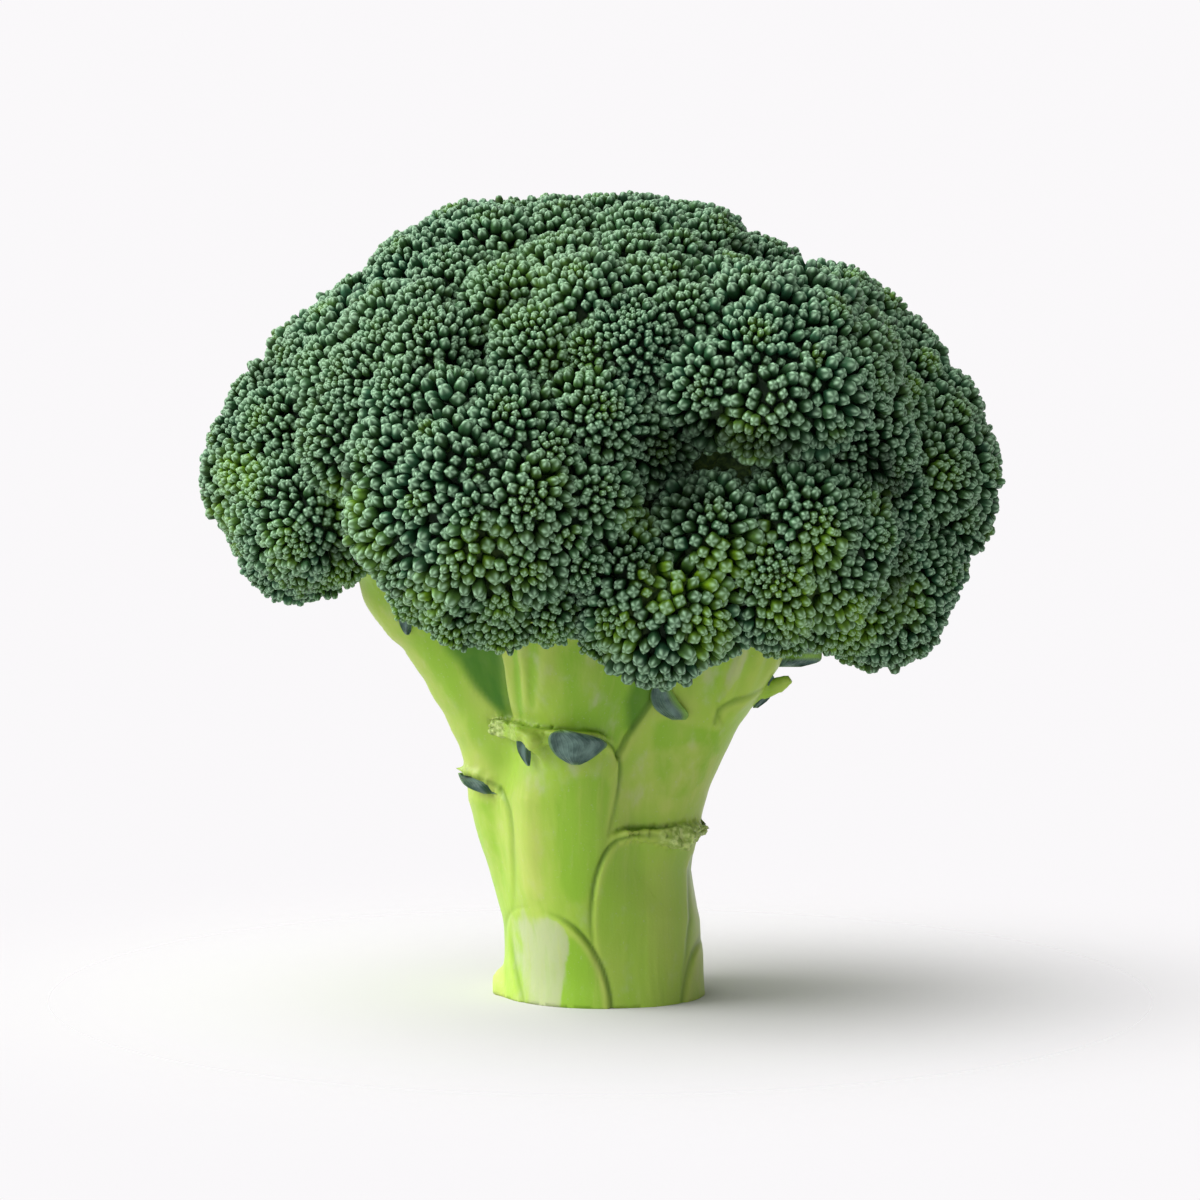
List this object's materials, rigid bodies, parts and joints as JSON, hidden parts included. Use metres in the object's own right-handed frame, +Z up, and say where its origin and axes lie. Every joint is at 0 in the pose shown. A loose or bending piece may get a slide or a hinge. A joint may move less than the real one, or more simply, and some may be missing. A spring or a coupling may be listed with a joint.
{
  "type": "broccoli head",
  "caption": "Fresh broccoli head with a thick branching stalk cut square at its foot, under a broad dome of florets covered in small flower buds.",
  "frame": {"origin": "centre of the flat cut face at the foot of the stalk", "axes": "+Z up along the stalk toward the crown; -Y toward the side shown in the picture; +X to its right"},
  "size_m": [0.1511, 0.1386, 0.1507],
  "materials": {
    "stalk": "waxy, satin",
    "buds": "matte",
    "leaf_blade": "satin, bloomed"
  },
  "bodies": {
    "root": {"stalk": "stalk", "floret_top": "buds", "floret_top_left": "buds", "floret_front_top": "buds", "floret_right_top": "buds", "floret_back_top": "buds", "floret_left_top": "buds", "floret_left": "buds", "floret_left_low": "buds", "floret_front_left_top": "buds", "floret_front_left": "buds", "floret_front_middle": "buds", "floret_front_low": "buds", "floret_front_low_right": "buds", "floret_front_right": "buds", "floret_front_right_top": "buds", "floret_right": "buds", "floret_right_low": "buds", "floret_back_left": "buds", "floret_back_left_low": "buds", "floret_back": "buds", "floret_back_low": "buds", "floret_back_right": "buds", "floret_back_right_low": "buds", "floret_right_back_low": "buds", "leaf_scrap_front": "leaf_blade", "leaf_scrap_front_left": "leaf_blade", "leaf_scrap_left": "leaf_blade", "leaf_scrap_front_right": "leaf_blade", "leaf_scrap_right": "leaf_blade", "leaf_scrap_back_left": "leaf_blade", "leaf_scrap_back_right": "leaf_blade", "leaf_stub_right": "leaf_blade"}
  },
  "joints": []
}
